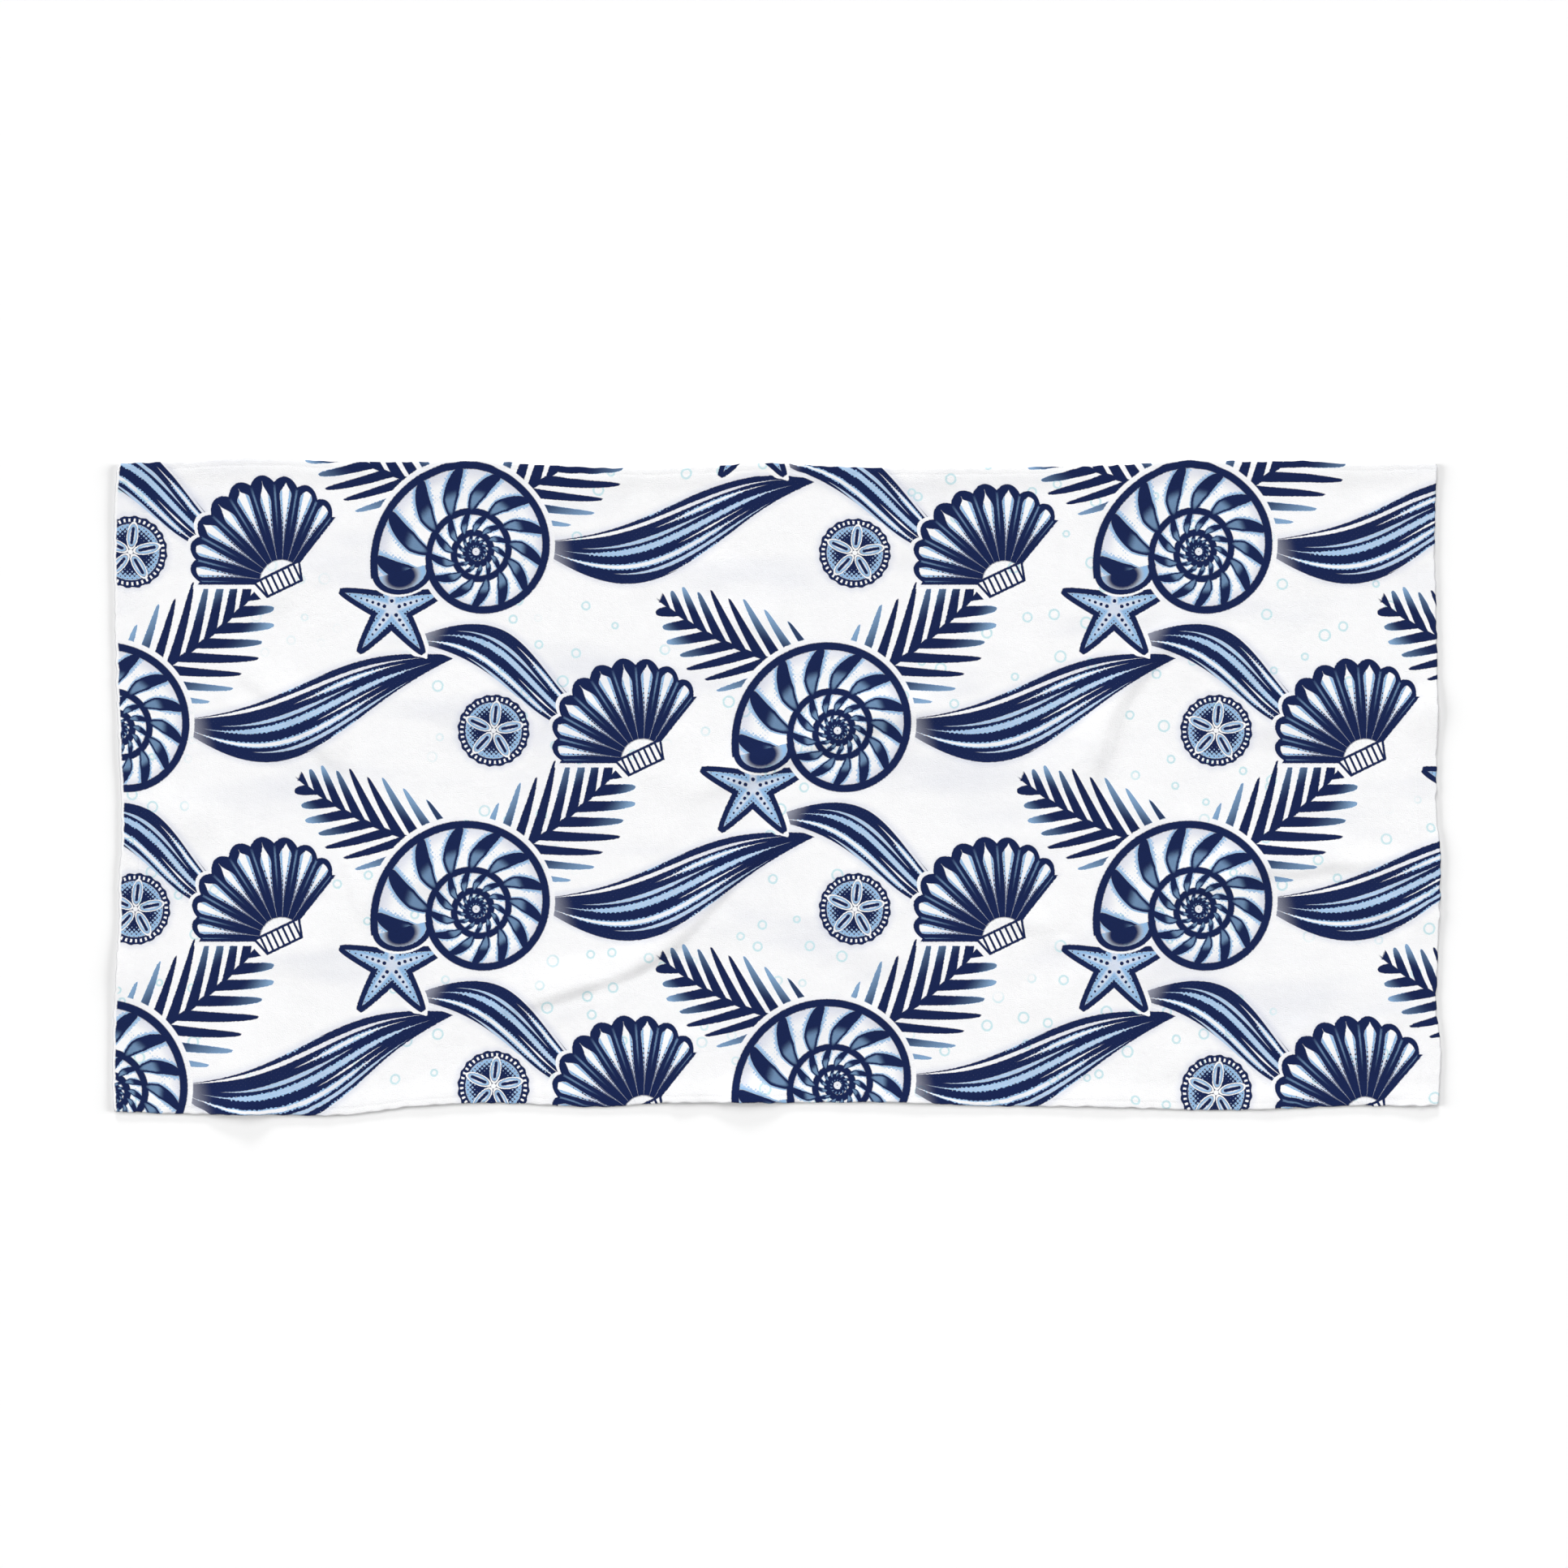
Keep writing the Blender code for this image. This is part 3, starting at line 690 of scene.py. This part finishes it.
def spiral(inks, u, v, dot, spot, radius):
    # spiral that grows by the same share each turn, with curved ribs and a rounded mouth
    x, y = placed(u, v, spot)
    growth = 2.15
    r = root(squared(x) + squared(y))
    angle = angleOf(y, x)
    turns = logarithm(r / radius) / log(growth) - angle / (2 * pi) + .5
    whorl = fraction(turns)
    size = r * (growth - 1) / growth
    beyond = turns * size
    inside = ink(-beyond) * rise(r, .004, .0045)
    seam = larger(ink(.0032 - whorl * size), ink(.0024 - (1 - whorl) * size))
    rim = ink(.0030 - magnitude(beyond - .0010))
    ribs = cosine(angle * 13 + whorl * 3.4 + squared(whorl) * 2.2)
    ribs = ribs + 1.25 * power(larger(1 - magnitude(whorl * 2 - .95), 0), .6) - .55
    dots = dotted(rise(ribs, -.75, .25), dot) * rise(whorl, .45, .65)
    low = radius / growth
    m = (x + (low + radius) / 2) / ((radius - low) / 2)
    n = y / (radius * .20)
    mouth = (1 - root(squared(m) + squared(n))) * radius * .22 - rise(y, .0004, .0014)
    lip = ink(.0032 - magnitude(mouth)) * (1 - rise(y, .0020, .0028))
    under = ink(mouth) * (1 - inside)
    dark = rise(root(squared(m + .1) + squared(n + .25)), .80, .45) * under
    alpha = larger(larger(ink(.0085 - beyond), inside), ink(mouth + .0060))
    ribbed = rise(ribs, .33, .48) * inside
    navy = larger(larger(larger(larger(ribbed, seam * inside), rim), lip), dark)
    blue = larger(larger(rise(ribs, .05, .15), dots * .8) * inside, under) * (1 - navy)
    shade = rise(whorl, .70, .98) * inside * .4
    sheen = rise(ribs, .80, 1.25) * ribbed * rise(whorl, .62, .40) * .50
    lilac = larger(shade, glow(-beyond) * (1 - inside) * (1 - under)) * (1 - blue) * (1 - navy)
    return laid(inks, alpha, navy * (1 - sheen), larger(blue, rise(sheen, 0, .02)), lilac)


def fan(inks, u, v, dot, spot, radius):
    # ribbed fan that opens from its hinge, with a scalloped rim
    x, y = placed(u, v, spot)
    y = y + radius * .42
    r = root(squared(x) + squared(y))
    spread, count = 1.12, 9
    a = angleOf(x, y) / spread
    rib = a * (count / 2)
    number = floored(rib + .5)
    off = magnitude(rib - number) * 2
    outer = radius * (1 - .17 * squared(a)) * (1 - .07 * squared(off))
    depth = r / radius
    edge = smaller(outer - r, (1 - magnitude(a)) * r * spread)
    body = ink(edge)
    far = .80 + .06 * cosine(number * 2.5)
    streak = rise(.60 * rise(depth, .15, .95) * (1 - rise(depth, far, .95)) - off, -.04, .04)
    white = rise(.33 * rise(depth, .3, .9) - off, -.04, .04) * streak
    dots = dotted(rise(depth, .95, .35) * .9, dot) * streak * (1 - white)
    line = ink(.0034 - magnitude(edge))
    navy = larger(larger(line, rise(depth, .20, .22) * body * (1 - streak)), dots * body)
    ear = smaller(.026 + y * .30 - magnitude(x), smaller(.014 - y, y + .010))
    ears = ink(ear)
    grooves = ink(ear - .0030) * rise(magnitude(wrapped(x, .0035)), .0010, .0016)
    navy = navy * (1 - ears) + ears * (1 - grooves)
    sheen = body * (1 - streak) * rise(off, .84, 1) * rise(depth, .45, .75) * rise(depth, .97, .80) * .45
    blue = larger(streak * (1 - white) * body * (1 - navy), rise(sheen, 0, .02))
    lilac = white * body * rise(depth, .75, .35) * .8
    lilac = larger(lilac, glow(edge) * (1 - body) * (1 - ears) * rise(depth, .3, .6))
    alpha = larger(ink(edge + .0082), ink(ear + .0060))
    return laid(inks, alpha, navy * (1 - sheen), blue, lilac * (1 - blue))


def star(inks, u, v, dot, spot, radius):
    # five tapering arms round the centre, with beads along each and dots to its sides
    x, y = placed(u, v, spot)
    r = root(squared(x) + squared(y))
    turned = wrapped(angleOf(y, x), pi / 5)
    along, off = r * cosine(turned), r * magnitude(sine(turned))
    t = along / radius
    half = radius * .250 * power(larger(1 - t, 0), .72)
    edge = (half - off) * .93
    body = ink(edge) * (1 - rise(t, .995, 1))
    line = ink(.0030 - magnitude(edge)) * (1 - rise(t, 1, 1.02))
    offBead = root(squared(wrapped(along - .002, .0035)) + squared(off))
    beads = rise(.0022 * (1.15 - t) - offBead, -.0003, .0003)
    beads = beads * rise(t, .08, .10) * (1 - rise(t, .84, .86))
    across = off / larger(half, 1e-3)
    shade = dotted(rise(across, .25, 1.1), dot)
    navy = larger(line, larger(beads, shade) * body)
    pale = rise(across, .42, .12) * rise(t, .75, .30) * .75
    blue, lilac = body * (1 - navy) * (1 - pale), body * (1 - navy) * pale * .35
    alpha = ink(edge + .0078 * rise(t, 1.16, .92)) * (1 - rise(t, 1.10, 1.12))
    return laid(inks, alpha, navy, blue, lilac)


def medallion(inks, u, v, dot, spot, radius):
    # round disc with five petals, a notched rim and dots that thicken towards it
    x, y = placed(u, v, spot)
    r = root(squared(x) + squared(y))
    angle = angleOf(y, x)
    turned = wrapped(angle, pi / 5)
    depth = r / radius
    along, off = depth * cosine(turned), depth * magnitude(sine(turned))
    edge = radius - r + .0007 * cosine(angle * 20)
    body = ink(edge)
    petal = 1 - root(squared((along - .46) / .31) + squared(off / .125))
    petals = rise(petal, -.04, .04)
    line = rise(.10 - magnitude(petal + .16), -.04, .04)
    middle = rise(.045 - off, -.01, .01) * petals * rise(petal, .15, .25)
    notches = rise(cosine(angle * 40), .1, .5) * rise(depth, .83, .86) * rise(depth, .945, .925)
    dots = dotted(rise(depth, .38, .80) * .85, dot) * (1 - petals) * (1 - line) * rise(depth, .80, .77)
    cut = larger(larger(larger(line, petals), larger(notches, dots)), rise(.07 - depth, -.01, .01))
    navy = larger(body * (1 - cut), middle)
    blue = body * larger(dots, petals * (1 - middle) * rise(petal, .55, .20))
    lilac = larger(body * petals * (1 - middle) * rise(petal, .2, .7) * .45, glow(edge) * (1 - body))
    return laid(inks, ink(edge + .0062), navy, blue * (1 - navy), lilac * (1 - navy))


def bubbles(u, v):
    # pale rings of several sizes, in loose clusters
    distance, chance = cells(u, v, 24, 3)
    ring = rise(.0011 - magnitude(distance - (.0032 + .0030 * fraction(chance * 7))), -.0004, .0004)
    return ring * rise(noiseAt(u, v, 5, 0, 5), .45, .55) * rise(chance, .30, .32)


def clouds(u, v):
    # soft level smudges
    return rise(noiseAt(u * .5, v * 1.7, 9, 2, 9), .50, .78)


def printedInks(u, v):
    # amounts of navy, light blue and lilac at a place, each motif laid over those before it
    dot = dotField(u, v)
    inks = (u * 0, u * 0, u * 0)
    for row in printing["fronds"]:
        inks = frond(inks, u, v, dot, *row)
    for row in printing["ribbons"]:
        inks = ribbon(inks, u, v, dot, *row)
    inks = star(inks, u, v, dot, *printing["star"])
    inks = medallion(inks, u, v, dot, *printing["medallion"])
    inks = fan(inks, u, v, dot, *printing["fan"])
    return spiral(inks, u, v, dot, *printing["spiral"])


def screenColour(*levels):
    # a colour given as it looks on the screen, 0 to 255, for a socket, which wants it linear
    return tuple(((level / 255 + .055) / 1.055) ** 2.4 for level in levels) + (1,)


terry = {
    "white": screenColour(247, 247, 248),
    "navy": screenColour(12, 30, 76),
    "blue": screenColour(146, 185, 223),
    "lilac": screenColour(158, 168, 202),
    "ring": screenColour(203, 229, 234),
    "cloud": screenColour(188, 193, 212),
    "cloudAmount": .22,
    "grain": 900,             # noise scales of the pile's grain, its tufts and the patches where it lies down
    "tufts": 160,
    "tuftShare": .6,
    "patches": 45,
    "mottle": .10,            # how much darker the pile looks where it lies another way
    "mottleTint": screenColour(120, 122, 135),
    "endPaintedShade": .56,          # how grey the painted shade makes the edges, at the ends and along the long sides
    "sidePaintedShade": .22,
    "edgeShadeTint": screenColour(120, 120, 126),
    "underPaintedShade": .62,        # how grey the painted shade makes the lower half of the ends' edges
    "underShadeTint": screenColour(90, 90, 96),
    "edgeReach": .0022,       # how far in the painted shade of the edges goes, and where it is full: above and below
    "edgeFull": .0003,
    "underFull": .0010,
    "roughness": .96,
    "laidGloss": .10,         # how much smoother the pile is where it lies down
    "sheen": .05,
    "pileHeight": .0006,
    "loopRow": .0018,         # pitch of the loops' rows on the back
    "loopPitch": .0013,
    "rowJitter": .0012,       # how far the loops stray from their rows
    "pitchJitter": .0015,
    "loopHeight": .0007,
    "loopPaintedShade": .12,         # how dark the painted shade in the hollows between the loops is
    "loopShadeTint": screenColour(150, 152, 162),
    "ghost": .05,             # how much of the print shows through to the back
    "ghostTint": screenColour(120, 135, 170),
}

thread = {
    "light": screenColour(238, 238, 240),
    "dark": screenColour(190, 192, 200),
    # how strong the painted shade in the twist's grooves is
    "twistShade": .25,
    "twist": .0005,           # pitch of the thread's twist, and its height
    "twistHeight": .0001,
    "roughness": .75,
    "twistGloss": .1,
}


def fabric(name, sheen, paint):
    # a rough cloth material whose colour, roughness and bump height come from the function paint
    made = bpy.data.materials.new(name)
    made.use_nodes = True
    Wire.tree = made.node_tree
    colour, roughness, height, distance = paint()
    shader = made.node_tree.nodes["Principled BSDF"]
    shader.inputs["Specular IOR Level"].default_value = .1
    shader.inputs["Sheen Weight"].default_value = sheen
    shader.inputs["Sheen Roughness"].default_value = .6
    bump = Wire.node("Bump", {}, {"Strength": 1, "Distance": distance, "Height": height})
    for wire, name in ((colour, "Base Color"), (roughness, "Roughness"), (bump, "Normal")):
        made.node_tree.links.new(wire.socket, shader.inputs[name])
    return made


def planPlace():
    # metres along and across the flat cloth from its near left corner
    plan = Wire.node("SeparateXYZ", {}, {0: Wire.node("UVMap", {"uv_map": "clothPlan"})})
    return plan * towel["length"], Wire(plan.socket.node.outputs[1]) * towel["width"]


def printLimits(u, v):
    # 1 within the printed rectangle
    left, right, near, far = printing["margins"]
    fromEnd = smaller(u - left, towel["length"] - right - u)
    fromSide = smaller(v - near, towel["width"] - far - v)
    return rise(smaller(fromEnd, fromSide), -printing["marginFade"], printing["marginFade"])


def inkedColour(u, v):
    # white cloth, then the clouds, rings, lilac, light blue and navy over it
    shift = (noiseAt(u, v, 420, 1, 1) - .5) * (printing["wobble"] * 4)
    u, v = u + shift, v - shift
    navy, blue, lilac = printedInks(u, v)
    limits = printLimits(u, v)
    colour = mixed(clouds(u, v) * (terry["cloudAmount"] * limits), terry["white"], terry["cloud"])
    colour = mixed(bubbles(u, v) * limits, colour, terry["ring"])
    colour = mixed(lilac * limits, colour, terry["lilac"])
    colour = mixed(blue * limits, colour, terry["blue"])
    return mixed(navy * limits, colour, terry["navy"])


def pile(u, v):
    # sheared pile: fine grain, and small tufts added to it
    return noiseAt(u, v, terry["grain"], 1, 3) + noiseAt(u, v, terry["tufts"], 1, 4) * terry["tuftShare"]


def velourFace():
    # printed pile, darker in patches where it lies another way, and with painted shade towards its edges
    u, v = planPlace()
    height = pile(u, v)
    lie = rise(noiseAt(u, v, terry["patches"], 2, 6) * .5 + height * .3, -.1, 1.1)
    shaded = darkened(lie * terry["mottle"], inkedColour(u, v), terry["mottleTint"])
    fromEnd, fromSide = smaller(u, towel["length"] - u), smaller(v, towel["width"] - v)
    # painted shade on the edges: greyer towards the ends and the long sides
    ends = rise(fromEnd, terry["edgeReach"], terry["edgeFull"]) * terry["endPaintedShade"]
    sides = rise(fromSide, terry["edgeReach"], terry["edgeFull"]) * terry["sidePaintedShade"]
    shaded = darkened(larger(ends, sides), shaded, terry["edgeShadeTint"])
    return shaded, terry["roughness"] - lie * terry["laidGloss"], height, terry["pileHeight"]


def loopedBack():
    # rows of small loops, sin u x sin v, with painted shade in their hollows, and sheared pile on the hems,
    # where the face is turned over;
    # the ends' edges carry painted shade on their lower half
    u, v = planPlace()
    pastEnd = smaller(u, towel["length"] - u) - towel["endHem"]
    pastSide = smaller(v, towel["width"] - v) - towel["sideHem"]
    single = rise(smaller(pastEnd, pastSide), -.0003, .0003)
    jitter = noiseAt(u, v, 300, 1, 7) - .5
    row = sine((u + jitter * terry["rowJitter"]) * (2 * pi / terry["loopRow"]))
    loops = row * sine((v + jitter * terry["pitchJitter"]) * (2 * pi / terry["loopPitch"])) * .5 + .5
    loops = loops + noiseAt(u, v, 700, 1, 8) * .5
    height = loops * single + (1 - single) * noiseAt(u, v, terry["grain"], 2, 3)
    ghost = noiseAt(u, v, 14, 1, 10)
    # painted shade in the hollows between the loops
    colour = mixed(rise(loops, .9, -.1) * single * terry["loopPaintedShade"], terry["white"], terry["loopShadeTint"])
    colour = mixed(ghost * terry["ghost"], colour, terry["ghostTint"])
    # painted shade on the lower half of the ends' edges
    rim = rise(pastEnd + towel["endHem"], terry["edgeReach"], terry["underFull"])
    colour = darkened(rim * terry["underPaintedShade"], colour, terry["underShadeTint"])
    return colour, terry["roughness"] - loops * terry["laidGloss"], height, terry["loopHeight"]


def threadColour():
    # twisted thread: fine slanted lines of painted shade across its round, in the twist's grooves
    spot = Wire.node("SeparateXYZ", {}, {0: Wire(Wire.node("TexCoord").socket.node.outputs["Object"])})
    other = Wire(spot.socket.node.outputs[1])
    twist = sine((spot + other) * (2 * pi / thread["twist"])) * .5 + .5
    colour = mixed(twist * thread["twistShade"], thread["light"], thread["dark"])
    return colour, thread["roughness"] - twist * thread["twistGloss"], twist, thread["twistHeight"]


def buildTowel():
    face = fabric("printedVelour", terry["sheen"], velourFace)
    back = fabric("loopedTerry", terry["sheen"], loopedBack)
    white = fabric("whiteThread", 0, threadColour)
    print("materials built,", len(face.node_tree.nodes), "nodes in the print")
    cloth = clothMesh("printed_cloth", (face, back))
    seams = stitchMesh("hem_stitches", (face, white))
    for piece in (cloth, seams):
        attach(piece, "root")
    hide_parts("towel_cloth")


buildStudio()
buildTowel()
